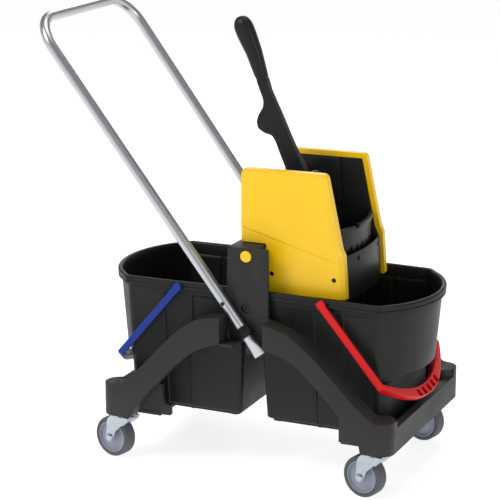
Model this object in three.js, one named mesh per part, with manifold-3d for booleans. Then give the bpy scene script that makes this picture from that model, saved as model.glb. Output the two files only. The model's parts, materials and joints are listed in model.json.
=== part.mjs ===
// Twin-bucket mop trolley with a lever wringer, in millimetres, +Z up.
// +X runs along the trolley towards the bucket under the wringer, -Y is the near side.
import * as THREE from "three";
import { mergeVertices } from "three/addons/utils/BufferGeometryUtils.js";
import Module from "manifold-3d";

// ---------- driving dimensions ----------
const SHIFT_X = 60; // caster centre line to the middle of the overall length
const FLOOR_Z = 0;

const FRAME_HALF_L = 296; // half length of the chassis
const FRAME_HALF_W = 200; // half width over the arms
const ARM_INNER_Y = 160;
const DECK_Z = 95; // underside of the chassis
const TRAY_TOP_Z = 101.5;
const END_WALL_TOP_Z = 142;
const END_WALL_T = 16;
const CORNER_R = 28;
const CORNER_TOP_Z = 157;
const CENTRE_GAP = 44; // half gap between the two arms of a side

const WHEEL_R = 40;
const WHEEL_W = 28;
const TRAIL = 27;
const CASTER_X = 260;
const CASTER_Y = 164;
const SWIVEL_DEG = 13; // how far every caster has turned

const BUCKET_FLOOR_Z = 102;
const BUCKET_NECK_Z = 350; // where the body meets the rim band
const RIM_Z = 361.5; // rim height at the outer end
const RIM_RISE = 3.5; // extra rim height at the trolley's centre
const RIM_HALF_W = 146;
const RIM_END_X = 327; // from the point midway between the buckets
const RIM_INNER_X = 9.5;
const BUCKET_MID_X = -7; // that point sits a little off the casters' centre
const WALL_T = 3;
const END_ARC_R = 189;

const BAIL_PIVOT_X = 146.5;
const BAIL_PIVOT_Z = 352.5;
const BAIL_ANGLE = 50; // degrees below horizontal when it hangs
const BAIL_HALF_W = 154;
const BAIL_T = 5.5;
const BAIL_H = 14;

const TUBE_R = 10;
const TUBE_TOP_Y = 180.5; // half width between the tube centres at the top
const TUBE_FOOT_Y = 167.5;
const HANDLE_TOP_X = -430;
const HANDLE_TOP_Z = 846;
const HANDLE_FOOT_Z = 247;
const HANDLE_RUN = 0.761; // run per unit of rise
const HANDLE_BEND_R = 62;

const COLUMN_OUTER_Y = 155;
const COLUMN_INNER_Y = 147.5;
const COLUMN_TOP_Z = 446.2;
const BUTTON_X = -9;
const BUTTON_Z = 430;
const BUTTON_R = 11;

const SHELL_OUTER_Y = 116;
const SHELL_INNER_Y = 94;
const LINER_Y = 97;
const LEVER_X = 40; // lever pivot
const LEVER_Z = 540;
const GEAR_MODULE = 2;
const LEVER_TEETH = 17;
const PRESS_TEETH = 34;
const PRESS_OFFSET = (GEAR_MODULE * (LEVER_TEETH + PRESS_TEETH)) / 2 / Math.SQRT2;
const PRESS_X = LEVER_X - PRESS_OFFSET;
const PRESS_Z = LEVER_Z - PRESS_OFFSET;

// ---------- solids ----------
const wasm = await Module();
wasm.setup();

const DEG = Math.PI / 180;

// A three.js geometry as a closed manifold-3d solid.
function solid(geometry) {
  const plain = geometry.clone();
  plain.deleteAttribute("normal");
  plain.deleteAttribute("uv");
  const welded = mergeVertices(plain, 1e-4);
  const index = welded.index.array;
  const faces = [];
  for (let i = 0; i < index.length; i += 3) {
    const [a, b, c] = [index[i], index[i + 1], index[i + 2]];
    if (a !== b && b !== c && a !== c) faces.push(a, b, c);
  }
  return new wasm.Manifold(new wasm.Mesh({
    numProp: 3,
    vertProperties: new Float32Array(welded.attributes.position.array),
    triVerts: new Uint32Array(faces),
  }));
}

function toGeometry(shape) {
  const mesh = shape.getMesh();
  const geometry = new THREE.BufferGeometry();
  geometry.setAttribute("position", new THREE.BufferAttribute(new Float32Array(mesh.vertProperties), 3));
  geometry.setIndex(new THREE.BufferAttribute(new Uint32Array(mesh.triVerts), 1));
  geometry.computeVertexNormals();
  return geometry;
}

const union = (...shapes) => shapes.reduce((a, b) => a.add(b));
const cut = (body, ...tools) => tools.reduce((a, b) => a.subtract(b), body);

function box(x0, x1, y0, y1, z0, z1) {
  const geometry = new THREE.BoxGeometry(x1 - x0, y1 - y0, z1 - z0);
  return solid(geometry.translate((x0 + x1) / 2, (y0 + y1) / 2, (z0 + z1) / 2));
}

function extrude(points, depth) {
  const shape = new THREE.Shape(points.map(([a, b]) => new THREE.Vector2(a, b)));
  return new THREE.ExtrudeGeometry(shape, { depth, bevelEnabled: false });
}

// Outline in X and Z, running from y0 to y1.
function prismY(points, y0, y1) {
  const geometry = extrude(points, y1 - y0);
  return solid(geometry.rotateX(Math.PI / 2).translate(0, y1, 0));
}

// Outline in Y and Z, running from x0 to x1.
function prismX(points, x0, x1) {
  const basis = new THREE.Matrix4().makeBasis(
    new THREE.Vector3(0, 1, 0), new THREE.Vector3(0, 0, 1), new THREE.Vector3(1, 0, 0));
  return solid(extrude(points, x1 - x0).applyMatrix4(basis).translate(x0, 0, 0));
}

// Outline in X and Y, running from z0 to z1.
function prismZ(points, z0, z1) {
  return solid(extrude(points, z1 - z0).translate(0, 0, z0));
}

function rodY(radius, x, z, y0, y1, sides = 16) {
  const geometry = new THREE.CylinderGeometry(radius, radius, y1 - y0, sides);
  return solid(geometry.translate(x, (y0 + y1) / 2, z));
}

function rodZ(radius, x, y, z0, z1, sides = 16) {
  const geometry = new THREE.CylinderGeometry(radius, radius, z1 - z0, sides);
  return solid(geometry.rotateX(Math.PI / 2).translate(x, y, (z0 + z1) / 2));
}

// Rings of equal length joined in order, with flat or fanned ends.
function loft(rings) {
  const count = rings[0].length;
  const positions = rings.flat(2);
  const faces = [];
  for (let r = 0; r < rings.length - 1; r += 1) {
    for (let i = 0; i < count; i += 1) {
      const j = (i + 1) % count;
      const [a, b] = [r * count + i, r * count + j];
      faces.push(a, b, b + count, a, b + count, a + count);
    }
  }
  faces.push(...cap(rings[0], 0, true), ...cap(rings.at(-1), (rings.length - 1) * count, false));
  const geometry = new THREE.BufferGeometry();
  geometry.setAttribute("position", new THREE.Float32BufferAttribute(positions, 3));
  geometry.setIndex(outward(positions, faces));
  return solid(geometry);
}

// Triangles closing one end ring, wound with the ring or against it.
function cap(ring, start, against) {
  const areaAlong = (k) => {
    const [u, v] = [(k + 1) % 3, (k + 2) % 3];
    return Math.abs(THREE.ShapeUtils.area(ring.map((p) => new THREE.Vector2(p[u], p[v]))));
  };
  const areas = [0, 1, 2].map(areaAlong);
  const facing = areas.indexOf(Math.max(...areas));
  const [u, v] = [(facing + 1) % 3, (facing + 2) % 3];
  const flat = ring.map((p) => new THREE.Vector2(p[u], p[v]));
  const turn = Math.sign(THREE.ShapeUtils.area(flat));
  return THREE.ShapeUtils.triangulateShape(flat, []).flatMap((face) => {
    const same = Math.sign(THREE.ShapeUtils.area(face.map((i) => flat[i]))) === turn;
    const order = same === against ? [face[0], face[2], face[1]] : face;
    return order.map((i) => i + start);
  });
}

function outward(positions, faces) {
  const at = (i) => new THREE.Vector3(...positions.slice(i * 3, i * 3 + 3));
  let volume = 0;
  for (let i = 0; i < faces.length; i += 3) {
    volume += at(faces[i]).dot(at(faces[i + 1]).cross(at(faces[i + 2])));
  }
  return volume > 0 ? faces : faces.slice().reverse();
}

// Polygon with its corners rounded: each vertex is [a, b, radius].
function rounded(vertices, steps = 4) {
  const points = [];
  vertices.forEach(([a, b, radius], i) => {
    if (!radius) {
      points.push([a, b]);
      return;
    }
    const here = new THREE.Vector2(a, b);
    const before = new THREE.Vector2(...vertices.at(i - 1).slice(0, 2)).sub(here).normalize();
    const after = new THREE.Vector2(...vertices[(i + 1) % vertices.length].slice(0, 2))
      .sub(here).normalize();
    const half = Math.acos(THREE.MathUtils.clamp(before.dot(after), -1, 1)) / 2;
    const reach = radius / Math.tan(half);
    const [p, q] = [here.clone().addScaledVector(before, reach), here.clone().addScaledVector(after, reach)];
    for (let s = 0; s <= steps; s += 1) {
      const t = s / steps;
      points.push([0, 1].map((k) => {
        const [u, v, w] = [p, here, q].map((e) => e.getComponent(k));
        return u * (1 - t) ** 2 + 2 * v * t * (1 - t) + w * t ** 2;
      }));
    }
  });
  return points;
}

// Polygon moved inwards by d on every side.
function inset(points, d) {
  const area = points.reduce((sum, [x, y], i) => {
    const [u, v] = points[(i + 1) % points.length];
    return sum + x * v - u * y;
  }, 0);
  const side = Math.sign(area);
  return points.map(([x, y], i) => {
    const [px, py] = points.at(i - 1);
    const [nx, ny] = points[(i + 1) % points.length];
    const a = new THREE.Vector2(x - px, y - py).normalize();
    const b = new THREE.Vector2(nx - x, ny - y).normalize();
    const na = new THREE.Vector2(-a.y, a.x).multiplyScalar(side);
    const nb = new THREE.Vector2(-b.y, b.x).multiplyScalar(side);
    const mid = na.clone().add(nb);
    const k = d / (1 + na.dot(nb));
    return [x + mid.x * k, y + mid.y * k];
  });
}

const mirrorY = (shape) => shape.mirror([0, 1, 0]);
const mirrorX = (shape) => shape.mirror([1, 0, 0]);

// ---------- chassis ----------
// Smooth edge through measured points.
const sweep = (points) => new THREE.SplineCurve(points.map(([x, z]) => new THREE.Vector2(x, z)))
  .getPoints((points.length - 1) * 2).map((p) => [p.x, p.y]);
const ARM_RIGHT = [
  ...sweep([[44, 317], [84, 306], [110, 292], [139, 270], [171, 240], [203, 208], [234, 179], [261, 158]]),
  [296, 155], [296, DECK_Z], [239, DECK_Z], [235, 113], [197, 113],
  ...sweep([[196, 160], [170, 189], [140, 219], [110, 245], [78, 261], [44, 268]]),
];
const ARM_LEFT = [
  ...sweep([[44, 319], [82, 312.5], [103, 303], [124, 288.5], [145, 270], [171, 243], [198, 213], [231, 181],
    [256, 159]]),
  [296, 155], [296, DECK_Z], [236, DECK_Z],
  ...sweep([[227, 106], [212, 131], [194, 153], [167, 184], [140, 211], [114, 234], [88, 252], [62, 263], [44, 268]]),
];
const CRADLE = [[236, 96], [236, 158], [182, 158], [182, 134], [178, 122], [166, 118], [166, 98]];

function halfFrame(profile) {
  const arm = prismY(profile, ARM_INNER_Y, FRAME_HALF_W);
  const pocket = prismY(inset(profile, 5), ARM_INNER_Y - 1, FRAME_HALF_W - 5);
  const corner = [FRAME_HALF_L - CORNER_R, FRAME_HALF_W - CORNER_R];
  const sharp = box(corner[0], FRAME_HALF_L + 1, corner[1], FRAME_HALF_W + 1, 0, 400);
  const post = rodZ(CORNER_R, ...corner, DECK_Z, CORNER_TOP_Z, 24);
  const mount = box(234, 286, 133, ARM_INNER_Y + 30, DECK_Z, 128);
  const side = union(cut(arm, pocket, sharp), mount, post);
  const sides = union(side, mirrorY(side));
  const edge = FRAME_HALF_W - CORNER_R;
  const wall = box(FRAME_HALF_L - END_WALL_T, FRAME_HALF_L, -edge, edge, DECK_Z, END_WALL_TOP_Z);
  const tray = box(186, FRAME_HALF_L - 1, -ARM_INNER_Y - 2, ARM_INNER_Y + 2, DECK_Z, TRAY_TOP_Z);
  const drain = box(205, 262, -80, 80, DECK_Z - 1, TRAY_TOP_Z + 1);
  return union(sides, wall, cut(tray, drain));
}

// Room for the handle tube where it passes the end of an arm.
function tubeNotch() {
  const line = (z, dx) => [HANDLE_TOP_X + (HANDLE_TOP_Z - z) * HANDLE_RUN + dx, z];
  const slot = prismY([line(255, -14), line(255, 14), line(340, 14), line(340, -14)], -184, -150);
  return union(slot, mirrorY(slot));
}

function centreBridge() {
  const web = box(-13, 0, -146.8, 146.8, 238, 322);
  const lighten = prismX(rounded([[-120, 252, 8], [120, 252, 8], [120, 304, 8], [-120, 304, 8]]), -14, 1);
  return cut(web, lighten);
}

function column() {
  const outline = [
    [-46, 446, 3], [34, 446, 3], [36, 316, 2], [CENTRE_GAP - 0.5, 306, 0],
    [CENTRE_GAP - 0.5, 264, 4], [-CENTRE_GAP + 0.5, 264, 4], [-CENTRE_GAP + 0.5, 306, 0], [-50, 320, 2],
  ];
  const plate = prismY(rounded(outline, 2), -COLUMN_OUTER_Y, -COLUMN_INNER_Y);
  const lip = box(-CENTRE_GAP + 0.5, -18, -FRAME_HALF_W + 3, -COLUMN_OUTER_Y + 1, 264, 269);
  const neck = prismX(
    [[-COLUMN_INNER_Y - 1, 384], [-112, 384], [-97, 410], [-97, COLUMN_TOP_Z], [-COLUMN_INNER_Y - 1, COLUMN_TOP_Z]],
    -12.5, -0.5);
  const shelf = box(-44, 12.4, -COLUMN_INNER_Y - 1, -97, 438, COLUMN_TOP_Z); // closes the top, above the rims
  const seat = rodY(BUTTON_R + 2.5, BUTTON_X, BUTTON_Z, -COLUMN_INNER_Y - 1, -COLUMN_INNER_Y + 6);
  const hole = rodY(BUTTON_R + 0.4, BUTTON_X, BUTTON_Z, -COLUMN_OUTER_Y - 1, -COLUMN_INNER_Y + 3);
  const boltHole = rodY(9.5, -10, 330, -COLUMN_OUTER_Y - 1, -COLUMN_OUTER_Y + 4);
  const body = union(plate, lip, neck, shelf, seat.intersect(box(-40, 40, -160, -100, 300, 446)));
  return cut(body, hole, boltHole);
}

// ---------- push handle ----------
const handleAxis = new THREE.Vector3(-HANDLE_RUN, 0, 1).normalize();
const handlePoint = (z) => new THREE.Vector3(HANDLE_TOP_X + (HANDLE_TOP_Z - z) * HANDLE_RUN, 0, z);
const tubeY = (z) => TUBE_FOOT_Y + ((z - HANDLE_FOOT_Z) / (HANDLE_TOP_Z - HANDLE_FOOT_Z)) * (TUBE_TOP_Y - TUBE_FOOT_Y);
const legPoint = (z) => handlePoint(z).setY(-tubeY(z));

// Centre line of one half of the handle, from the foot to the middle of the top bar.
function handleHalfPath() {
  const bendStart = legPoint(HANDLE_TOP_Z - HANDLE_BEND_R * handleAxis.z);
  const path = [0, 8, 21, 35].map((rise) => legPoint(HANDLE_FOOT_Z + rise));
  for (let i = 0; i <= 6; i += 1) {
    const angle = (i / 6) * (Math.PI / 2);
    const point = bendStart.clone().addScaledVector(handleAxis, HANDLE_BEND_R * Math.sin(angle));
    path.push(point.setY(bendStart.y + HANDLE_BEND_R * (1 - Math.cos(angle))));
  }
  return path;
}

function pushHandle() {
  const half = handleHalfPath();
  const path = [...half, ...half.slice().reverse().map((p) => p.clone().setY(-p.y))];
  const normal = new THREE.Vector3(1, 0, HANDLE_RUN).normalize();
  const pinch = [0.42, 0.42, 0.75];
  const rings = path.map((point, i) => {
    const ahead = path[Math.min(i + 1, path.length - 1)];
    const behind = path[Math.max(i - 1, 0)];
    const tangent = ahead.clone().sub(behind).normalize();
    const across = tangent.clone().cross(normal).normalize();
    const end = Math.min(i, path.length - 1 - i);
    const flat = pinch[end] ?? 1;
    const wide = end < 3 ? [1.32, 1.1, 1.05][end] : 1;
    return Array.from({ length: 12 }, (_, k) => {
      const a = (k / 12) * 2 * Math.PI;
      return point.clone()
        .addScaledVector(normal, TUBE_R * wide * Math.cos(a))
        .addScaledVector(across, TUBE_R * flat * Math.sin(a))
        .toArray();
    });
  });
  return loft(rings);
}

function tubeCollar() {
  const centre = legPoint(289);
  const place = new THREE.Matrix4().makeRotationFromQuaternion(
    new THREE.Quaternion().setFromUnitVectors(new THREE.Vector3(0, 1, 0), handleAxis));
  place.setPosition(centre);
  const sleeve = solid(new THREE.CylinderGeometry(12.4, 12.4, 22, 20).applyMatrix4(place));
  const foot = solid(new THREE.BoxGeometry(20, 20, 9).translate(0, 0, 8.5).applyMatrix4(place));
  const bore = solid(new THREE.CylinderGeometry(TUBE_R + 0.7, TUBE_R + 0.7, 60, 16).applyMatrix4(place));
  const behind = box(-80, 80, -COLUMN_OUTER_Y - 0.3, -100, 200, 400);
  return cut(union(sleeve, foot), bore, behind);
}

function columnBolt() {
  const head = rodY(8.7, -10, 330, -COLUMN_OUTER_Y + 0.3, -COLUMN_OUTER_Y + 3.6, 20);
  return cut(head, rodY(3, -10, 330, -COLUMN_OUTER_Y, -COLUMN_OUTER_Y + 2, 6));
}

// ---------- casters (built about the swivel axis, then placed) ----------
function casterMount() {
  const plate = rodZ(21, 0, 0, 88.6, DECK_Z - 0.3, 20);
  const pin = rodZ(5, 0, 0, 80.5, 89, 12);
  return union(plate, pin);
}

function casterFork() {
  const leg = [
    [-TRAIL - 9, 38], [-TRAIL - 6, 32], [-TRAIL + 6, 32], [-TRAIL + 10, 38],
    [4, 68], [19, 83], [19, 88], [-22, 88], [-34, 74],
  ];
  const near = prismY(leg, -19, -16.4);
  const crown = box(-22, 19, -19, 19, 83.4, 88);
  const race = rodZ(20, 0, 0, 83.4, 88.2, 20);
  const bore = rodZ(5.6, 0, 0, 80, 90, 12);
  const axleHoles = rodY(4.4, -TRAIL, WHEEL_R, -25, 25, 12);
  return cut(union(near, mirrorY(near), crown, race), bore, axleHoles);
}

function axle() {
  const shank = rodY(4, -TRAIL, WHEEL_R, -20, 20, 12);
  const head = rodY(7, -TRAIL, WHEEL_R, -22.6, -19.3, 6);
  const nut = rodY(7, -TRAIL, WHEEL_R, 19.3, 23.4, 6);
  return union(shank, head, nut);
}

// Closed profile of [radius, offset] turned about the wheel's own axis.
function wheelRing(profile, sides) {
  const points = [...profile, profile[0]].map(([r, y]) => new THREE.Vector2(r, y));
  const turned = new THREE.LatheGeometry(points, sides).rotateY(Math.PI / sides);
  return solid(turned.translate(-TRAIL, 0, WHEEL_R));
}

function tread() {
  const h = WHEEL_W / 2;
  const sides = 32;
  const crown = WHEEL_R / Math.cos(Math.PI / sides); // so that a flat of the ring meets the floor
  return wheelRing([[32, -h + 2], [38, -h + 1], [crown, -h + 5], [crown, h - 5], [38, h - 1], [32, h - 2]], sides);
}

function wheelCentre() {
  const h = WHEEL_W / 2;
  return wheelRing([
    [4.8, -h - 1.6], [10, -h - 1.6], [10, -6], [28, -6], [28, -h + 2.5], [31.5, -h + 2.5],
    [31.5, h - 2.5], [28, h - 2.5], [28, 6], [10, 6], [10, h + 1.6], [4.8, h + 1.6],
  ], 20);
}

function placeCaster(shape, x, y) {
  return shape.rotate([0, 0, -SWIVEL_DEG]).translate([x, y, 0]);
}

// ---------- buckets ----------
// D-shaped plan at height z, shrunk by `thin` all round.
function bucketPlan(z, thin) {
  const drop = Math.max(BUCKET_NECK_Z - z, 0);
  const lip = 7;
  const halfW = RIM_HALF_W - lip - 0.06 * drop - thin;
  const innerX = RIM_INNER_X + lip - 2 + 0.05 * drop + thin;
  const endX = RIM_END_X - lip - 0.09 * drop - thin;
  return planPoints(innerX, halfW, endX, END_ARC_R - lip);
}

function planPoints(innerX, halfW, endX, arcR) {
  const arcX = (y) => endX - arcR + Math.sqrt(arcR ** 2 - y ** 2);
  const cornerX = arcX(halfW);
  const arc = [-0.82, -0.6, -0.4, -0.2, 0, 0.2, 0.4, 0.6, 0.82].map((k) => [arcX(k * halfW), k * halfW, 0]);
  return rounded([
    [innerX, halfW, 10], [innerX, -halfW, 10], [cornerX, -halfW, 22], ...arc, [cornerX, halfW, 22],
  ], 3);
}

const rimHeight = (x) => RIM_Z + RIM_RISE * (1 - x / RIM_END_X);

function bucketBody(thin, floorZ, topAt) {
  const levels = [floorZ, floorZ + 6, 150, 250, BUCKET_NECK_Z];
  const rings = levels.map((z, i) => bucketPlan(z, thin + (i === 0 ? 5 : 0)).map(([x, y]) => [x, y, z]));
  rings.push(bucketPlan(BUCKET_NECK_Z, thin).map(([x, y]) => [x, y, topAt(x)]));
  return loft(rings);
}

function rimBand() {
  const plan = (grow) => planPoints(
    RIM_INNER_X + grow, RIM_HALF_W - grow, RIM_END_X - grow, END_ARC_R - grow);
  const ring = (grow, below) => plan(grow).map(([x, y]) => [x, y, rimHeight(x) - below]);
  return loft([ring(0.8, 16), ring(0, 12), ring(0, 3), ring(2.6, 0), ring(7, 0)]);
}

function gripArch(grow) {
  const arch = [
    [-118 - grow, 60], [118 + grow, 60], [117 + grow, 170], [113 + grow, 202 + grow],
    [56, 216 + grow], [-56, 216 + grow], [-113 - grow, 202 + grow], [-117 - grow, 170],
  ];
  return prismX(arch, RIM_END_X - 61 - grow, RIM_END_X + 40);
}

function bucket() {
  const outer = union(cut(bucketBody(0, BUCKET_FLOOR_Z, (x) => rimHeight(x) - 1), gripArch(0)), rimBand());
  const inner = cut(bucketBody(WALL_T, BUCKET_FLOOR_Z + 4, () => 420), gripArch(WALL_T));
  const pins = rodY(4.6, BAIL_PIVOT_X, BAIL_PIVOT_Z, -170, 170, 20);
  return cut(outer, inner, pins);
}

// ---------- bails ----------
function bail() {
  const reach = (y, out) => (out ? 190 + 62 * (1 - (y / BAIL_HALF_W) ** 2) : 182 + 48 * (1 - (y / 148) ** 2));
  const w = BAIL_HALF_W;
  const inY = w - BAIL_T;
  const steps = (limit) => Array.from({ length: 13 }, (_, i) => limit * (i / 6 - 1));
  const outer = steps(w).map((y) => [reach(y, true), y]);
  const innerArc = steps(inY).reverse().map((y) => [reach(Math.abs(y), false), y]);
  const outline = [[-8, -w], ...outer, [-8, w], [-8, inY], ...innerArc, [-8, -inY]];
  const slots = [-44, -22, 0, 22, 44].map((y) => {
    const s = 209 + 32 * (1 - (y / 148) ** 2);
    return [[s - 6, y - 6.5], [s + 6, y - 6.5], [s + 6, y + 6.5], [s - 6, y + 6.5]];
  });
  const flat = cut(prismZ(outline, -BAIL_H / 2, BAIL_H / 2),
    ...slots.map((slot) => prismZ(slot, -BAIL_H, BAIL_H)));
  const boss = rodY(9, 0, 0, -w, -inY, 20);
  const pin = rodY(4.1, 0, 0, -w + 1, -RIM_HALF_W + 5, 16);
  const ends = union(boss, pin);
  return union(flat, ends, mirrorY(ends)).rotate([0, BAIL_ANGLE, 0])
    .translate([BAIL_PIVOT_X, 0, BAIL_PIVOT_Z]);
}

// ---------- wringer ----------
const SHELL_OUTLINE = [
  [-38, 586, 10], [131, 588, 8], [161, 450, 0], [167, 438, 0], [173, 354, 5],
  [14, 353, 3], [13, COLUMN_TOP_Z + 0.3, 3], [-38, COLUMN_TOP_Z + 0.3, 4],
];

// The shell's outline moved inwards by d, with its corners rounded to suit.
function shellPoints(d) {
  const sharp = inset(SHELL_OUTLINE.map(([x, z]) => [x, z]), d);
  return rounded(sharp.map(([x, z], i) => {
    const radius = SHELL_OUTLINE[i][2];
    return [x, z, radius && Math.max(radius - d, 1.5)];
  }), 3);
}

const SCREWS = [[25, 391], [150, 392]];
const screwRods = (radius, y0, y1, sides) => union(...SCREWS.map(([x, z]) => rodY(radius, x, z, y0, y1, sides)));

// Yellow tray, open towards the basket.
function sideShell() {
  const ring = (d, y) => shellPoints(d).map(([x, z]) => [x, y, z]);
  const body = loft([
    ring(0, -SHELL_INNER_Y), ring(1, -SHELL_OUTER_Y + 9), ring(2.6, -SHELL_OUTER_Y + 3.4),
    ring(6, -SHELL_OUTER_Y),
  ]);
  const pocket = prismY(shellPoints(11), -SHELL_OUTER_Y + 3, -SHELL_INNER_Y + 1);
  const heads = screwRods(4.6, -SHELL_OUTER_Y - 1, -SHELL_OUTER_Y + 4, 16);
  return cut(body, pocket, heads, screwRods(2.4, -SHELL_OUTER_Y, -SHELL_INNER_Y + 1, 12));
}

function screw(x, z) {
  const head = rodY(4, x, z, -SHELL_OUTER_Y + 1, -SHELL_OUTER_Y + 4, 12);
  const shank = rodY(2, x, z, -SHELL_OUTER_Y + 3, -LINER_Y + 5, 10);
  const drive = rodY(1.6, x, z, -SHELL_OUTER_Y, -SHELL_OUTER_Y + 2.4, 6);
  return cut(union(head, shank), drive);
}

// Black inner side plate: thick behind the press, thin beside the basket.
function liner() {
  const outline = shellPoints(11.5);
  const plate = prismY(outline, -LINER_Y, -LINER_Y + 6);
  const thick = prismY([[-40, 470], [30, 400], [84, 400], [78, 600], [-40, 600]], -LINER_Y + 5, -84)
    .intersect(prismY(shellPoints(13), -LINER_Y, -80));
  const bores = union(rodY(8.5, LEVER_X, LEVER_Z, -100, -80), rodY(7.5, PRESS_X, PRESS_Z, -100, -80));
  return cut(union(plate, thick), bores, screwRods(2.4, -LINER_Y - 1, -LINER_Y + 7, 12));
}

// A wall that bows outwards between the side plates; each level is [x, z].
function bowedWall(levels, thickness, bow, halfW) {
  const rings = levels.map(([x, z]) => {
    const side = (t) => Array.from({ length: 13 }, (_, i) => {
      const k = i / 6 - 1;
      return [x + t + bow * (1 - k * k), k * halfW, z];
    });
    return [...side(0), ...side(thickness).reverse()];
  });
  return loft(rings);
}

function frontCover() {
  return bowedWall([[163, 348], [158, 432]], 3.5, 10, 90.6);
}

// Press sieve: bowed wall with drain slots and a rolled lip.
function sieve() {
  const wall = bowedWall([[145, 366], [142, 446], [142, 450], [142, 476]], 3, 16, 90.4);
  const lip = bowedWall([[140, 470], [140, 479]], 8, 17, 90.4);
  const notch = box(120, 170, -38, -22, 474, 490);
  const slots = [];
  for (let i = -3; i <= 3; i += 1) {
    slots.push(box(120, 170, i * 23 - 3, i * 23 + 3, 378, 440));
  }
  return cut(union(wall, lip), notch, ...slots);
}

function basketFloor() {
  const plate = box(30, 150, -90.4, 90.4, 358, 363);
  const slots = [];
  for (let i = -3; i <= 3; i += 1) slots.push(box(42, 140, i * 22 - 4, i * 22 + 4, 350, 370));
  return cut(plate, ...slots);
}

function rearWall() {
  const wall = box(-31, -27.5, -83.6, 83.6, 468, 530);
  const foot = box(-31, -16, -83.6, 83.6, 464, 469);
  return union(wall, foot);
}

// ---------- lever ----------
const LEVER_OUTLINE = [
  [22, 532, 0], [14, 552, 6], [7, 569, 0], [-4, 594, 0], [-12, 614, 5], [-20, 629, 4], [-37, 633, 3],
  [-50, 641, 4], [-53, 655, 5], [-49, 669, 4], [-39, 683, 4], [-39, 696, 6], [-47, 715, 4], [-53, 730, 0],
  [-33, 734, 0], [-27, 713, 5], [-4, 667, 10], [16, 624, 8], [25, 606, 8], [46, 570, 10], [64, 532, 0],
];

function leverArm() {
  const blade = prismY(rounded(LEVER_OUTLINE, 3), -10, 10);
  const hub = rodY(22, LEVER_X, LEVER_Z, -13, 13, 24);
  const bore = rodY(8.3, LEVER_X, LEVER_Z, -20, 20);
  const below = box(0, 90, -30, 30, 500, LEVER_Z - 19);
  return cut(union(blade, hub), bore, below);
}

function leverGrip() {
  const stations = [[-43.5, 733.5, 10.5, 11], [-48, 745, 12, 12], [-62, 785, 14.5, 13.5], [-76, 815, 17, 15],
    [-84, 833, 17, 15], [-89, 845, 12, 11], [-91, 850.5, 5, 5]];
  const rings = stations.map(([x, z, halfX, halfY], i) => Array.from({ length: 20 }, (_, k) => {
    const a = (k / 20) * 2 * Math.PI;
    const [c, s] = [Math.cos(a), Math.sin(a)];
    const px = halfX * Math.sign(c) * Math.abs(c) ** 0.75;
    const py = halfY * Math.sign(s) * Math.abs(s) ** 0.75;
    const lean = i === 0 ? 0.25 : 0.4;
    return [x + px, py, z + px * lean];
  }));
  return loft(rings);
}

const shaft = (radius, x, z) => rodY(radius, x, z, -94, 94);

// Involute sector gear in X and Z about the origin, teeth centred on multiples of the pitch from `phase`.
function sectorGear(teeth, phase, from, to, boreR) {
  const pitchR = (GEAR_MODULE * teeth) / 2;
  const baseR = pitchR * Math.cos(20 * DEG);
  const tipR = pitchR + GEAR_MODULE * 0.9;
  const rootR = pitchR - GEAR_MODULE * 1.25;
  const inv = (r) => {
    const a = Math.acos(Math.min(baseR / r, 1));
    return Math.tan(a) - a;
  };
  const halfAtPitch = Math.PI / (2 * teeth) - 0.12 / pitchR;
  const halfAt = (r) => halfAtPitch + inv(pitchR) - inv(Math.max(r, baseR));
  const points = [];
  const put = (r, angle) => points.push([r * Math.cos(angle), r * Math.sin(angle)]);
  const pitch = (2 * Math.PI) / teeth;
  const first = Math.ceil((from * DEG - phase * DEG) / pitch);
  const last = Math.floor((to * DEG - phase * DEG) / pitch);
  put(rootR, phase * DEG + (first - 0.5) * pitch);
  for (let n = first; n <= last; n += 1) {
    const mid = phase * DEG + n * pitch;
    const radii = [rootR, Math.max(baseR, rootR + 0.2), pitchR, tipR];
    radii.forEach((r) => put(r, mid - halfAt(r)));
    radii.reverse().forEach((r) => put(r, mid + halfAt(r)));
  }
  put(rootR, phase * DEG + (last + 0.5) * pitch);
  const backFrom = phase * DEG + (last + 0.5) * pitch;
  const backTo = phase * DEG + (first - 0.5) * pitch + 2 * Math.PI;
  for (let i = 0; i <= 8; i += 1) put(boreR + 5, backFrom + ((backTo - backFrom) * (i + 0.5)) / 9);
  return { points, boreR };
}

function placeGear({ points, boreR }, x, z) {
  const wheel = prismY(points.map(([a, b]) => [a + x, b + z]), 60, 70);
  return cut(wheel, rodY(boreR, x, z, 50, 80));
}

function leverGear() {
  return placeGear(sectorGear(LEVER_TEETH, 225, 203, 318, 8.3), LEVER_X, LEVER_Z);
}

function pressGear() {
  const half = 180 / PRESS_TEETH;
  return placeGear(sectorGear(PRESS_TEETH, 45 + half, -8, 62, 7.3), PRESS_X, PRESS_Z);
}

// Ribbed plate hanging from the press shaft.
function pressPlate() {
  const board = box(-3, 2, -80, 80, -132, -17);
  const ribs = [-66, -33, 0, 33, 66].map((y) => box(-9, -2, y - 2, y + 2, -124, -17));
  const knuckles = [[-80, -56], [-14, 14], [36, 56]].map(([a, b]) => union(
    rodY(12, 0, 0, a, b, 20), box(-6, 6, a, b, -20, 0)));
  const drains = [-50, -17, 17, 50].map((y) => box(-20, 20, y - 4, y + 4, -112, -60));
  const blank = cut(union(board, ...ribs, ...knuckles), rodY(7.3, 0, 0, -100, 100), ...drains);
  return blank.rotate([0, -11, 0]).translate([PRESS_X, 0, PRESS_Z]);
}

function releaseButton() {
  return rodY(BUTTON_R, BUTTON_X, BUTTON_Z, -COLUMN_OUTER_Y - 4, -COLUMN_INNER_Y - 0.8, 16);
}

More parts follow.
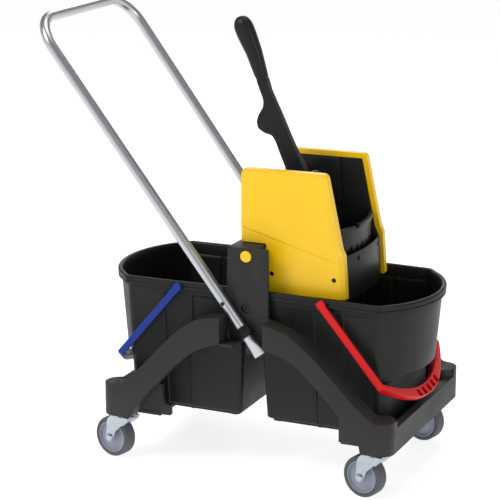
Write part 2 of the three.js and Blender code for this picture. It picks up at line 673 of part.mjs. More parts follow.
// ---------- materials ----------
const material = (color, roughness, metalness = 0) =>
  new THREE.MeshStandardMaterial({ color, roughness, metalness });
const PAINT = {
  frame_plastic: material("#41413f", 0.6),
  bucket_plastic: material("#363635", 0.55),
  black_plastic: material("#2b2b2d", 0.5),
  yellow_plastic: material("#f5d72d", 0.45),
  blue_plastic: material("#2341a5", 0.45),
  red_plastic: material("#e62d32", 0.45),
  wheel_plastic: material("#8c91a5", 0.5),
  tyre_rubber: material("#4b505f", 0.8),
  tube_metal: material("#c8cacc", 0.25, 1),
  zinc_steel: material("#c4c6c4", 0.35, 1),
  dark_steel: material("#4a4a4c", 0.4, 1),
};

// ---------- assembly ----------
const trolley = new THREE.Group();
trolley.name = "mop_trolley";

function add(name, slot, shape) {
  const placed = shape.translate([SHIFT_X, 0, FLOOR_Z]);
  const mesh = new THREE.Mesh(toGeometry(placed), PAINT[slot]);
  mesh.name = name;
  trolley.add(mesh);
}

function addPair(name, slot, shape) {
  add(`${name}_near`, slot, shape);
  add(`${name}_far`, slot, mirrorY(shape));
}

add("half_frame_right", "frame_plastic", halfFrame(ARM_RIGHT));
const cradle = prismY(CRADLE, 150, ARM_INNER_Y + 0.5); // props the clean water bucket up
const leftHalf = union(halfFrame(ARM_LEFT), cradle, mirrorY(cradle));
add("half_frame_left", "frame_plastic", cut(mirrorX(leftHalf), tubeNotch()));
add("centre_bridge", "frame_plastic", centreBridge());
addPair("column", "frame_plastic", column());
addPair("column_bolt", "dark_steel", columnBolt());
add("push_handle", "tube_metal", pushHandle());
addPair("tube_collar", "black_plastic", tubeCollar());
addPair("release_button", "yellow_plastic", releaseButton());

const CORNERS = [["left_near", -1, -1], ["left_far", -1, 1], ["right_near", 1, -1], ["right_far", 1, 1]];
for (const [where, sx, sy] of CORNERS) {
  const [x, y] = [sx * CASTER_X, sy * CASTER_Y];
  add(`caster_mount_${where}`, "zinc_steel", placeCaster(casterMount(), x, y));
  add(`caster_fork_${where}`, "zinc_steel", placeCaster(casterFork(), x, y));
  add(`caster_axle_${where}`, "zinc_steel", placeCaster(axle(), x, y));
  add(`caster_tread_${where}`, "tyre_rubber", placeCaster(tread(), x, y));
  add(`caster_wheel_${where}`, "wheel_plastic", placeCaster(wheelCentre(), x, y));
}

const fromMid = (shape) => shape.translate([BUCKET_MID_X, 0, 0]);
add("bucket_right", "bucket_plastic", fromMid(bucket()));
add("bucket_left", "bucket_plastic", fromMid(mirrorX(bucket())));
add("bail_red", "red_plastic", fromMid(bail()));
add("bail_blue", "blue_plastic", fromMid(mirrorX(bail())));

addPair("side_shell", "yellow_plastic", sideShell());
addPair("side_liner", "black_plastic", liner());
SCREWS.forEach(([x, z], i) => addPair(`shell_screw_${"ab"[i]}`, "dark_steel", screw(x, z)));
add("front_cover", "black_plastic", frontCover());
add("press_sieve", "black_plastic", sieve());
add("basket_floor", "black_plastic", basketFloor());
add("rear_wall", "black_plastic", rearWall());

add("lever_arm", "black_plastic", leverArm());
add("lever_grip", "black_plastic", leverGrip());
add("lever_shaft", "zinc_steel", shaft(8, LEVER_X, LEVER_Z));
add("lever_gear", "zinc_steel", leverGear());
add("press_plate", "black_plastic", pressPlate());
add("press_shaft", "zinc_steel", shaft(7, PRESS_X, PRESS_Z));
add("press_gear", "zinc_steel", pressGear());

export default trolley;
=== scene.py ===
# %% [markdown]
# # A twin-bucket mop trolley with a lever wringer
# The fixed frame of the object comes first. It holds every solid at its real size, in metres,
# and the joints that move them. Each later cell puts a finished, detailed piece in the space
# of one or more of those solids.

# %% Load the fixed frame
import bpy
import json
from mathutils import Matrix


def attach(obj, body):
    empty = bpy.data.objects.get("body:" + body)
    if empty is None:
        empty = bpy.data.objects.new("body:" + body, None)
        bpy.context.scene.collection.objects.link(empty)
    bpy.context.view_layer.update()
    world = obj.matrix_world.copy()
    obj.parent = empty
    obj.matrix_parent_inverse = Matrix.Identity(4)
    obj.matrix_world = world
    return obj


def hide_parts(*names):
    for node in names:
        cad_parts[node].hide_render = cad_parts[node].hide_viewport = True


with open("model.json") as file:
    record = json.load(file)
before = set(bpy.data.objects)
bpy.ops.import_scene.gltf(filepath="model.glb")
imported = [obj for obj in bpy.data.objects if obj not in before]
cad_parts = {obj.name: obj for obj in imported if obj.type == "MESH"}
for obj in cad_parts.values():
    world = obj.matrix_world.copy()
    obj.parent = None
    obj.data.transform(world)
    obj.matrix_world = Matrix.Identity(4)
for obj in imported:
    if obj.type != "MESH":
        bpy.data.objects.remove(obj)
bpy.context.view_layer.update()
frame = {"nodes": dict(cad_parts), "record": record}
import json
import math

import bmesh
import bpy
from mathutils import Matrix, Vector

BODY_OF = {node: body for body, nodes in frame["record"]["behaviour"]["bodies"].items() for node in nodes}

# %% [markdown]
# ## Small helpers
# Sizes below are in millimetres, as on a maker's drawing, and become metres only when a mesh
# is made. `MM` does that. Paint and plastic colours are given as sRGB hex values, and a shader
# needs linear light, so one function converts them.

# %% Units, colours and nodes
MM = 0.001
SHIFT_X = 60.0  # the casters' centre line lies this far from the frame's origin


def linear(hex_colour):
    parts = [int(hex_colour[i:i + 2], 16) / 255 for i in (1, 3, 5)]
    return [c / 12.92 if c <= 0.04045 else ((c + 0.055) / 1.055) ** 2.4 for c in parts] + [1.0]


def add(tree, kind, links=None, **settings):
    """Add a node. `links` maps an input to a value or to an output socket of another node."""
    node = tree.nodes.new(kind)
    for key, value in settings.items():
        setattr(node, key, value)
    for key, value in (links or {}).items():
        socket = node.inputs[key]
        if isinstance(value, bpy.types.NodeSocket):
            tree.links.new(value, socket)
        else:
            socket.default_value = value
    return node


print("graphite in linear light:", [round(c, 4) for c in linear("#3b3b3a")])

# %% [markdown]
# ## Moulded plastics
# Buckets, frame and wringer are injection moulded polypropylene. The mould is spark eroded, which
# leaves a fine grain of about 0.4 mm, and the colour goes slightly uneven where the
# melt flowed. Use adds long pale scuffs and a little dust low down. All four effects come from
# noise on object coordinates, so that they stay with the piece when a joint moves it.

# %% Moulded polypropylene in each colour
GRAIN_PER_METRE = 1 / (0.9 * MM)  # real grain is about 0.4 mm, drawn coarser so that it shows


def moulded(name, colour, roughness, scuff, scuff_share=0.35, grain=0.12, dust=0.12,
            mirroring=0.5):
    material = bpy.data.materials.new(name)
    material.use_nodes = True
    tree = material.node_tree
    shader = tree.nodes["Principled BSDF"]
    place = add(tree, "ShaderNodeTexCoord").outputs["Object"]
    grit = add(tree, "ShaderNodeTexNoise", {"Vector": place, "Scale": GRAIN_PER_METRE, "Detail": 2.0})
    cloud = add(tree, "ShaderNodeTexNoise", {"Vector": place, "Scale": 14.0, "Detail": 3.0})
    stretch = add(tree, "ShaderNodeMapping", {"Vector": place, "Scale": (60.0, 60.0, 700.0),
                                              "Rotation": (0.4, 0.7, 0.2)})
    scratch = add(tree, "ShaderNodeTexNoise", {"Vector": stretch.outputs[0], "Scale": 1.0, "Detail": 4.0})
    worn = add(tree, "ShaderNodeMapRange", {"Value": scratch.outputs["Fac"], "From Min": 0.62,
                                            "From Max": 0.78, "To Max": scuff_share})
    tint = add(tree, "ShaderNodeMixRGB", {"Fac": cloud.outputs["Fac"], "Color1": linear(colour),
                                          "Color2": [c * 1.12 for c in linear(colour)[:3]] + [1.0]})
    scuffed = add(tree, "ShaderNodeMixRGB", {"Fac": worn.outputs[0], "Color1": tint.outputs[0],
                                             "Color2": linear(scuff)})
    height = add(tree, "ShaderNodeSeparateXYZ", {"Vector": place})
    low = add(tree, "ShaderNodeMapRange", {"Value": height.outputs["Z"], "From Min": 0.0,
                                           "From Max": 0.18, "To Min": dust, "To Max": 0.0})
    dirt = add(tree, "ShaderNodeMath", {0: low.outputs[0], 1: cloud.outputs["Fac"]}, operation="MULTIPLY")
    dusty = add(tree, "ShaderNodeMixRGB", {"Fac": dirt.outputs[0], "Color1": scuffed.outputs[0],
                                           "Color2": linear("#8a8478")})
    rough = add(tree, "ShaderNodeMapRange", {"Value": cloud.outputs["Fac"], "From Min": 0.3, "From Max": 0.7,
                                             "To Min": roughness - 0.05, "To Max": roughness + 0.06})
    bump = add(tree, "ShaderNodeBump", {"Height": grit.outputs["Fac"], "Strength": grain,
                                        "Distance": 0.15 * MM})
    tree.links.new(dusty.outputs[0], shader.inputs["Base Color"])
    tree.links.new(rough.outputs[0], shader.inputs["Roughness"])
    tree.links.new(bump.outputs[0], shader.inputs["Normal"])
    shader.inputs["IOR"].default_value = 1.49
    shader.inputs["Specular IOR Level"].default_value = mirroring
    return material


ERODED = 0.25  # specular level of the dark grained faces; chosen, where 0.5 would be a plain face
SATIN = 0.3  # and of the coloured bails
MATERIALS = {
    "frame_plastic": moulded("moulded PP graphite frame", "#272726", 0.5, "#4c4c4a", mirroring=ERODED),
    "bucket_plastic": moulded("moulded PP charcoal bucket", "#171716", 0.46, "#3a3a38", 0.2,
                              mirroring=ERODED),
    "black_plastic": moulded("moulded glass-filled PP black", "#151517", 0.42, "#38383a", 0.2,
                             mirroring=ERODED),
    "yellow_plastic": moulded("moulded PP yellow", "#edbd06", 0.38, "#f2cc40", 0.12, 0.05, 0.03),
    "blue_plastic": moulded("moulded PP blue", "#062c84", 0.4, "#2448a0", 0.1, 0.06, mirroring=SATIN),
    "red_plastic": moulded("moulded PP red", "#cc070d", 0.4, "#d62e34", 0.1, 0.06, mirroring=SATIN),
    "wheel_plastic": moulded("moulded nylon wheel grey", "#8990a4", 0.42, "#a3a9b8", 0.3, 0.06, 0.3),
    "tyre_rubber": moulded("TPE tread", "#3c404b", 0.7, "#585d68", 0.35, 0.25, 0.4),
}
print(len(MATERIALS), "moulded materials")

# %% [markdown]
# ## Metals
# The push handle is aluminium tube, drawn through a die and anodised: a satin metal with fine
# lines along its length. Forks, axles and shafts are pressed steel, zinc plated, which shows as
# cool bright patches called spangle. A metal takes its colour from its base colour and keeps the
# default index of refraction.

# %% Anodised tube and zinc plate


def metal(name, colour, second, roughness, patch_per_metre, stretch, bump_strength):
    material = bpy.data.materials.new(name)
    material.use_nodes = True
    tree = material.node_tree
    shader = tree.nodes["Principled BSDF"]
    place = add(tree, "ShaderNodeTexCoord").outputs["Object"]
    size, lean = stretch  # one grain line in metres along each axis, after the lean is taken out
    turned = add(tree, "ShaderNodeMapping", {"Vector": place, "Scale": size, "Rotation": lean},
                 vector_type="TEXTURE")
    patch = add(tree, "ShaderNodeTexNoise", {"Vector": place, "Scale": patch_per_metre, "Detail": 4.0})
    lines = add(tree, "ShaderNodeTexNoise", {"Vector": turned.outputs[0], "Scale": 1.0, "Detail": 3.0})
    tint = add(tree, "ShaderNodeMixRGB", {"Fac": patch.outputs["Fac"], "Color1": linear(colour),
                                          "Color2": linear(second)})
    rough = add(tree, "ShaderNodeMapRange", {"Value": lines.outputs["Fac"], "From Min": 0.3, "From Max": 0.7,
                                             "To Min": roughness - 0.03, "To Max": roughness + 0.04})
    bump = add(tree, "ShaderNodeBump", {"Height": lines.outputs["Fac"], "Strength": bump_strength,
                                        "Distance": 0.05 * MM})
    tree.links.new(tint.outputs[0], shader.inputs["Base Color"])
    tree.links.new(rough.outputs[0], shader.inputs["Roughness"])
    tree.links.new(bump.outputs[0], shader.inputs["Normal"])
    shader.inputs["Metallic"].default_value = 1.0
    return material


TUBE_LEAN = math.atan(0.761)
MATERIALS["tube_metal"] = metal("anodised aluminium tube", "#c3c5c8", "#b6b9bd", 0.32, 12.0,
                                ((2 * MM, 2 * MM, 300 * MM), (0.0, -TUBE_LEAN, 0.0)), 0.05)
MATERIALS["zinc_steel"] = metal("zinc-plated steel", "#c2c7ce", "#9aa2ad", 0.26, 160.0,
                                ((2 * MM, 2 * MM, 2 * MM), (0.0, 0.0, 0.0)), 0.1)
MATERIALS["dark_steel"] = metal("black oxide steel", "#3c3c3f", "#2c2c2f", 0.38, 160.0,
                                ((2 * MM, 2 * MM, 2 * MM), (0.0, 0.0, 0.0)), 0.1)
print("metals:", [MATERIALS[k].name for k in ("tube_metal", "zinc_steel", "dark_steel")])

# %% [markdown]
# ## Turning point lists into pieces
# A finished piece is a mesh whose object sits at the origin, joined to the body it moves with.
# `finish_piece` does that for every piece: it smooths all but the sharp edges, gives the material
# of the piece's slot, and hides the solids that the piece stands for.

# %% Mesh makers
made_pieces = []


def mesh_from(name, verts, faces, repair=True):
    mesh = bpy.data.meshes.new(name)
    mesh.from_pydata([Vector(v) * MM for v in verts], [], faces)
    if repair:
        tidy_mesh(mesh)
    return mesh


def tidy_mesh(mesh, merge=1e-6):
    bm = bmesh.new()
    bm.from_mesh(mesh)
    bmesh.ops.remove_doubles(bm, verts=bm.verts, dist=merge)
    bmesh.ops.dissolve_degenerate(bm, edges=bm.edges, dist=merge)
    bmesh.ops.recalc_face_normals(bm, faces=bm.faces)
    bm.to_mesh(mesh)
    bm.free()


def loft(name, rings, closed=False):
    """Join rings of equal length. Ends are filled flat, or joined to each other if closed."""
    count = len(rings[0])
    verts = [p for ring in rings for p in ring]
    pairs = [(k, (k + 1) % len(rings)) for k in range(len(rings) - (0 if closed else 1))]
    faces = [(a * count + i, a * count + (i + 1) % count, b * count + (i + 1) % count, b * count + i)
             for a, b in pairs for i in range(count)]
    if not closed:
        faces += [tuple(range(count))[::-1], tuple((len(rings) - 1) * count + i for i in range(count))]
    return mesh_from(name, verts, faces)


def with_modifiers(mesh, name, settings):
    """Apply (kind, settings) modifiers to a mesh through a passing object."""
    helper = bpy.data.objects.new(name, mesh)
    bpy.context.scene.collection.objects.link(helper)
    for kind, values in settings:
        modifier = helper.modifiers.new(kind, kind)
        for key, value in values.items():
            setattr(modifier, key, value)
    bpy.context.view_layer.update()
    result = bpy.data.meshes.new_from_object(helper.evaluated_get(bpy.context.evaluated_depsgraph_get()))
    bpy.data.objects.remove(helper)
    return result


def finish_piece(name, mesh, nodes, slot, smooth_deg=35.0):
    mesh.materials.clear()
    mesh.materials.append(MATERIALS[slot])
    mesh.shade_smooth()
    mesh.set_sharp_from_angle(angle=math.radians(smooth_deg))
    piece = bpy.data.objects.new(name, mesh)
    bpy.context.scene.collection.objects.link(piece)
    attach(piece, BODY_OF[nodes[0]])
    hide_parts(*nodes)
    made_pieces.append(piece)
    return piece


def bevel(width, segments=2, angle=32.0):
    return ("BEVEL", {"width": width * MM, "segments": segments, "limit_method": "ANGLE",
                      "angle_limit": math.radians(angle), "use_clamp_overlap": True})


print("helpers ready")

# %% [markdown]
# ## Buckets
# Each bucket is one thin D-shaped moulding: flat where the two stand back to back, curved at the
# outer end, and tapered so that it leaves its mould and stacks. Such a shape follows a rule, so it
# is made as rings of points, each ring one height or one step round the rolled rim. A recess in
# the curved end gives the hand and the bail some room, and three shallow panels stiffen each side.

# %% The bucket's rule
MID_X = SHIFT_X - 7.0  # the plane midway between the two buckets
RIM_HALF_W, RIM_END, RIM_INNER, END_ARC_R = 146.0, 327.0, 9.5, 189.0
FLOOR_Z, NECK_Z, PIVOT_X, PIVOT_Z = 102.0, 350.0, 146.5, 352.5
RECESS_X = RIM_END - 61.0
RIDGES = (116.0, 167.0)


def smooth(t):
    t = min(max(t, 0.0), 1.0)
    return t * t * (3 - 2 * t)


def bend(p, corner, q, steps):
    """Points of a curve that leaves p, heads for the corner and arrives at q."""
    return [tuple(p[k] * (1 - t) ** 2 + 2 * corner[k] * t * (1 - t) + q[k] * t * t for k in (0, 1))
            for t in (s / steps for s in range(steps + 1))]


def toward(a, b, reach):
    d = math.dist(a, b)
    return tuple(a[k] + (b[k] - a[k]) * reach / d for k in (0, 1))


SIDE_STOPS = sorted({0.0, 1.0} | {(x + dx - 30) / 195 for x in RIDGES for dx in (-6, -4, -2.5, 2.5, 4, 6)}
                    | {k / 14 for k in range(1, 14)} | {0.03, 0.06, 0.94, 0.97})


def plan(inner, half_w, end, arc_r):
    """Half of the D from the middle of the flat end to the middle of the curved one, mirrored."""
    def arc_x(y):
        return end - arc_r + math.sqrt(arc_r ** 2 - y ** 2)
    back, front = (inner, -half_w), (arc_x(half_w), -half_w)
    start = (arc_x(0.82 * half_w), -0.82 * half_w)
    half = [(inner, -half_w * k / 8, 0.0) for k in range(8)]
    half += [(*p, 0.0) for p in bend(toward(back, (inner, 0), 10), back, toward(back, front, 10), 6)]
    side = (toward(back, front, 10), toward(front, back, 6))
    for t in SIDE_STOPS[1:-1]:
        x = 30 + 195 * t
        ends = [smooth(t / 0.05), smooth((1 - t) / 0.05)]
        panel = min([smooth((abs(x - r) - 2.5) / 2) for r in RIDGES] + ends)
        half.append((side[0][0] + (side[1][0] - side[0][0]) * t, -half_w, panel))
    half += [(*p, 0.0) for p in bend(side[1], front, toward(front, start, 6), 6)]
    half += [(arc_x(y), -y, 0.0) for y in (0.82 * half_w * k / 36 for k in range(34, -1, -1))]
    return half + [(x, -y, w) for x, y, w in half[-2:0:-1]]


def rim_height(x):
    return 361.5 + 3.5 * (1 - x / RIM_END)


def arch(y, z):
    """1 inside the recess of the curved end, 0 outside it, with a soft edge."""
    half = 117.0 if z < 190 else 66.0 + 49.0 * math.sqrt(max(0.0, 1 - ((z - 190) / 27) ** 2))
    return smooth((half - abs(y)) / 5 + 0.3) * smooth((216 - z) / 5 + 0.3)


def body_ring(z, thin, relief=2.0, top=None):
    """One ring of the tapered wall; with `top` it climbs from z towards the sloping rim."""
    drop = max(NECK_Z - z, 0.0)
    points = plan(RIM_INNER + 5 + 0.05 * drop + thin, RIM_HALF_W - 7 - 0.06 * drop - thin,
                  RIM_END - 7 - 0.09 * drop - thin, END_ARC_R - 7)
    ring = []
    for x, y, panel in points:
        level = z if top is None else z + (rim_height(x) - 16.4 - z) * top
        depth = relief * panel * smooth((338 - level) / 3)
        back = RECESS_X - thin
        if x > back:
            x += (back - x) * arch(y, level)
        ring.append((x, y - math.copysign(depth, y), level))
    return ring


def rim_ring(grow, below):
    points = plan(RIM_INNER + grow, RIM_HALF_W - grow, RIM_END - grow, END_ARC_R - grow)
    return [(x, y, rim_height(x) - below) for x, y, _ in points]


# %% The two buckets
FOOT = [(FLOOR_Z, 9.6), (102.7, 8.2), (108.0, 7.8), (109.0, 2.4), (110.4, 0.7), (113.0, 0.0)]
WALL_LEVELS = [116 + 4.5 * k for k in range(24)]
WALL_LEVELS += [230, 250, 270, 290, 305, 318, 326, 331, 333, 334.5, 336.5, 338]
RIM_PROFILE = [(5.6, 16.2), (1.6, 16.0), (0.6, 15.2), (0.5, 12.4), (1.7, 11.2), (1.8, 10.0), (0.5, 8.6),
               (0.15, 6.0), (0.2, 3.4), (1.2, 1.4), (3.0, 0.3), (5.4, 0.15), (7.6, 0.8), (9.0, 2.4),
               (10.0, 5.0)]


def bucket_mesh(side):
    outer = [body_ring(z, thin) for z, thin in FOOT] + [body_ring(z, 0.0) for z in WALL_LEVELS]
    outer.append(body_ring(338.0, 0.0, top=0.9))
    rim = [rim_ring(*step) for step in RIM_PROFILE]
    inner = [body_ring(338.0, 3.0, top=0.6)] + [body_ring(z, 3.0) for z in WALL_LEVELS[::-1]]
    inner += [body_ring(111.0, 3.6), body_ring(108.0, 5.4), body_ring(106.4, 9.0)]
    rings = outer + rim + inner
    placed = [[(MID_X + side * x, y, z) for x, y, z in ring] for ring in rings]
    return loft("bucket", placed)


for side, word in ((1, "right"), (-1, "left")):
    piece = finish_piece(f"moulded_bucket_{word}", bucket_mesh(side), [f"bucket_{word}"],
                         "bucket_plastic", 28)
    print(piece.name, len(piece.data.polygons), "faces")

# %% [markdown]
# ## Flat moulded parts with rounded edges
# Bails, lever and similar parts are flat outlines with some thickness and a small rounding where
# the mould parts. A 2D curve gives exactly that: it fills the outline, keeps its holes, extrudes
# it and rounds both edges. The curve becomes a mesh before it is put in place.

# %% A plate from an outline


def plate(name, outline, holes, thickness, edge, matrix, roundness=3):
    curve = bpy.data.curves.new(name, "CURVE")
    curve.dimensions, curve.fill_mode = "2D", "BOTH"
    curve.extrude, curve.bevel_depth = (thickness / 2 - edge) * MM, edge * MM
    curve.offset, curve.bevel_resolution = -edge * MM, roundness
    for points in [outline, *holes]:
        spline = curve.splines.new("POLY")
        spline.points.add(len(points) - 1)
        for point, (x, y) in zip(spline.points, points):
            point.co = (x * MM, y * MM, 0.0, 1.0)
        spline.use_cyclic_u = True
    holder = bpy.data.objects.new(name, curve)
    bpy.context.scene.collection.objects.link(holder)
    bpy.context.view_layer.update()
    mesh = bpy.data.meshes.new_from_object(holder.evaluated_get(bpy.context.evaluated_depsgraph_get()))
    bpy.data.objects.remove(holder)
    mesh.transform(matrix)
    tidy_mesh(mesh, 2e-6)
    return mesh


def joined(*meshes):
    bm = bmesh.new()
    for mesh in meshes:
        bm.from_mesh(mesh)
    result = bpy.data.meshes.new("joined")
    bm.to_mesh(result)
    bm.free()
    return result


def lathe(name, profile, matrix, steps=72, closed=True):
    """Turn [radius, height] about local Z. A closed profile makes a ring."""
    rings = [[(r * math.cos(a), r * math.sin(a), h) for r, h in profile]
             for a in (2 * math.pi * k / steps for k in range(steps))]
    count = len(profile)
    verts = [p for ring in rings for p in ring]
    last = count if closed else count - 1
    faces = [(k * count + i, k * count + (i + 1) % count, (k + 1) % steps * count + (i + 1) % count,
              (k + 1) % steps * count + i) for k in range(steps) for i in range(last)]
    mesh = mesh_from(name, verts, faces)
    mesh.transform(matrix)
    return mesh


def at_mm(x, y, z):
    return Matrix.Translation(Vector((x, y, z)) * MM)


ALONG_Y = Matrix.Rotation(math.pi / 2, 4, "X")  # local Z turns to -Y, local Y to +Z
print("plate and lathe ready")

# %% [markdown]
# ## Bails
# Each bucket has its own colour of bail, so that clean and dirty water are never mixed up. It is a
# flat plastic strap bent round the bucket, wider at the grip, where a row of slots saves plastic
# and cools evenly. It hangs down against the curved end.

# %% The red and the blue bail
BAIL_HALF_W, BAIL_T, BAIL_H, HANG = 154.0, 5.5, 14.0, math.radians(50)
BAIL_SLOTS = (-46, -23, 0, 23, 46)


def bail_outline():
    reach_out = [(190 + 62 * (1 - (y / 154) ** 2), y) for y in (154 * (k / 32 - 1) for k in range(65))]
    in_w = BAIL_HALF_W - BAIL_T
    reach_in = [(182 + 48 * (1 - (y / 148) ** 2), y) for y in (in_w * (1 - k / 32) for k in range(65))]
    return [(-8, -BAIL_HALF_W), *reach_out, (-8, BAIL_HALF_W), (-8, in_w), *reach_in, (-8, -in_w)]


def slot_outline(y, half_long=7.2, half_wide=6.4):
    s = 209 + 32 * (1 - (y / 148) ** 2)
    lean = -2 * 32 * y / 148 ** 2
    return [(s + a + lean * b, y + b) for a, b in (
        (-half_long + 1.5, -half_wide), (half_long - 1.5, -half_wide), (half_long, -half_wide + 1.5),
        (half_long, half_wide - 1.5), (half_long - 1.5, half_wide), (-half_long + 1.5, half_wide),
        (-half_long, half_wide - 1.5), (-half_long, -half_wide + 1.5))]


def bail_mesh(side):
    turn = at_mm(MID_X + side * PIVOT_X, 0, PIVOT_Z) @ Matrix.Rotation(side * HANG, 4, "Y")
    flip = [(side * s, y) for s, y in bail_outline()]
    slots = [[(side * s, y) for s, y in slot_outline(y)] for y in BAIL_SLOTS]
    strap = plate("bail", flip, slots, BAIL_H, 1.4, turn)
    parts = [strap]
    for y in (-1, 1):
        end = at_mm(MID_X + side * PIVOT_X, 0, PIVOT_Z) @ (ALONG_Y if y < 0 else ALONG_Y.inverted())
        boss = [(0.01, 147.2), (7.4, 147.2), (8.6, 148.2), (8.9, 150.0), (8.6, 152.6), (7.2, 153.8),
                (3.4, 153.9), (3.0, 153.2), (0.01, 153.2)]
        parts.append(lathe("boss", boss, end, 40, False))
    return joined(*parts)


for side, word, node in ((1, "red", "bail_red"), (-1, "blue", "bail_blue")):
    piece = finish_piece(f"strap_{word}", bail_mesh(side), [node], f"{word}_plastic", 40)
    print(piece.name, len(piece.data.polygons), "faces")

# %% [markdown]
# ## Parts that keep their drawing shape
# Frame halves, columns, gears, liners and similar parts are already right in outline. What they
# lack is what a mould or a press leaves: every edge has a small rounding that catches light.
# `refined` takes a copy of the solid, merges its loose triangles, clears the edges inside flat
# faces and rounds the rest.

# %% Refine a solid


def solid_mesh(node):
    mesh = frame["nodes"][node].data.copy()
    bm = bmesh.new()
    bm.from_mesh(mesh)
    bmesh.ops.remove_doubles(bm, verts=bm.verts, dist=2e-6)
    bmesh.ops.dissolve_limit(bm, angle_limit=math.radians(0.6), verts=bm.verts, edges=bm.edges)
    bm.to_mesh(mesh)
    bm.free()
    return mesh


def refined(node, slot, width=0.8, segments=2, angle=32.0, name=None, smooth_deg=40.0):
    mesh = with_modifiers(solid_mesh(node), node + "_work", [bevel(width, segments, angle)])
    return finish_piece(name or node + "_moulding", mesh, [node], slot, smooth_deg)


REFINED = {
    "frame_plastic": [("centre_bridge", 1.2), ("column_near", 1.3), ("column_far", 1.3)],
    "black_plastic": [("tube_collar_near", 0.8), ("tube_collar_far", 0.8), ("side_liner_near", 1.2),
                      ("side_liner_far", 1.2), ("front_cover", 0.7), ("press_sieve", 0.5),
                      ("basket_floor", 0.6), ("rear_wall", 0.8), ("press_plate", 0.7)],
    "zinc_steel": [("lever_shaft", 0.6), ("press_shaft", 0.6), ("lever_gear", 0.15), ("press_gear", 0.15)],
    "dark_steel": [("column_bolt_near", 0.5), ("column_bolt_far", 0.5)],
}
for slot, nodes in REFINED.items():
    for node, width in nodes:
        refined(node, slot, width)
print(sum(len(v) for v in REFINED.values()), "solids refined")

# %% [markdown]
# ## Frame halves
# The two frame halves carry everything. Each is one moulding with two arms that sweep down to
# the caster posts, open on the inner side. A wide rounding on the arms' outer edges gives the
# thin lit line that runs along the top of each arm. The same cell keeps the helpers for Geometry
# Nodes, which later cells use for the push handle and for the screws.

# %% Frame mouldings and the tree helpers
for node in ("half_frame_right", "half_frame_left"):
    refined(node, "frame_plastic", 1.8, 3, 35.0, smooth_deg=38.0)


def node_group(name, inputs):
    group = bpy.data.node_groups.new(name, "GeometryNodeTree")
    group.interface.new_socket("Geometry", in_out="INPUT", socket_type="NodeSocketGeometry")
    for label, kind, value in inputs:
        socket = group.interface.new_socket(label, in_out="INPUT", socket_type=kind)
        if value is not None:
            socket.default_value = value
    group.interface.new_socket("Geometry", in_out="OUTPUT", socket_type="NodeSocketGeometry")
    source = add(group, "NodeGroupInput")
    sink = add(group, "NodeGroupOutput")
    return group, source, sink


def finish_group(group, sink, geometry, material):
    real = add(group, "GeometryNodeRealizeInstances", {"Geometry": geometry})
    painted = add(group, "GeometryNodeSetMaterial", {"Geometry": real.outputs[0], "Material": material})
    group.links.new(painted.outputs[0], sink.inputs[0])


def grown(name, points, edges, group, values, attributes=None):
    """Run a tree on a small point or line mesh and return the plain mesh that it grows."""
    mesh = bpy.data.meshes.new(name)
    mesh.from_pydata([Vector(p) * MM for p in points], edges, [])
    for label, vectors in (attributes or {}).items():
        layer = mesh.attributes.new(label, "FLOAT_VECTOR", "POINT")
        layer.data.foreach_set("vector", [c for v in vectors for c in v])
    seed = bpy.data.objects.new(name, mesh)
    bpy.context.scene.collection.objects.link(seed)
    modifier = seed.modifiers.new("grow", "NODES")
    modifier.node_group = group
    for item in group.interface.items_tree:
        if item.in_out == "INPUT" and item.name in values:
            modifier[item.identifier] = values[item.name]
    bpy.context.view_layer.update()
    result = bpy.data.meshes.new_from_object(seed.evaluated_get(bpy.context.evaluated_depsgraph_get()))
    bpy.data.objects.remove(seed)
    return result


print("frame halves refined")

# %% [markdown]
# ## Push handle
# The handle is one 20 mm aluminium tube bent into a long U and pinched flat at its feet, where it
# is cut off. A tube is a round profile carried along a path, so the tree turns a line into a
# curve, sweeps a circle along it and squeezes the section at each end. The skin then gets a wall
# of 1.5 mm, and a cross hole for the height pin is drilled through each leg.

# %% The bent tube
HANDLE_TOP_X, HANDLE_TOP_Z, HANDLE_RUN, FOOT_HANDLE_Z = -430.0, 846.0, 0.761, 247.0
TUBE_TOP_Y, TUBE_FOOT_Y, BEND_R = 180.5, 167.5, 62.0
TUBE_R = 9.9  # 0.1 mm under the solid, so that the finished tube stays within its box


def leg_point(z):
    y = TUBE_FOOT_Y + (z - FOOT_HANDLE_Z) / (HANDLE_TOP_Z - FOOT_HANDLE_Z) * (TUBE_TOP_Y - TUBE_FOOT_Y)
    return Vector((SHIFT_X + HANDLE_TOP_X + (HANDLE_TOP_Z - z) * HANDLE_RUN, -y, z))


LEG_AXIS = Vector((-HANDLE_RUN, 0, 1)).normalized()
FACE = Vector((1, 0, HANDLE_RUN)).normalized()
bend_start = leg_point(HANDLE_TOP_Z - BEND_R * LEG_AXIS.z)
half = [leg_point(FOOT_HANDLE_Z + rise) for rise in (0, 3, 8, 15, 22, 30, 36, 60, 180, 300, 420)]
for k in range(15):
    turn = k / 14 * math.pi / 2
    inward = Vector((0, BEND_R * (1 - math.cos(turn)), 0))
    half.append(bend_start + LEG_AXIS * BEND_R * math.sin(turn) + inward)
path = half + [Vector((p.x, -p.y, p.z)) for p in half[::-1]]
PINCH = {0: (1.3, 0.42), 1: (1.3, 0.42), 2: (1.26, 0.43), 3: (1.16, 0.55), 4: (1.06, 0.8), 5: (1.0, 0.97)}
squeeze = [PINCH.get(min(i, len(path) - 1 - i), (1.0, 1.0)) for i in range(len(path))]

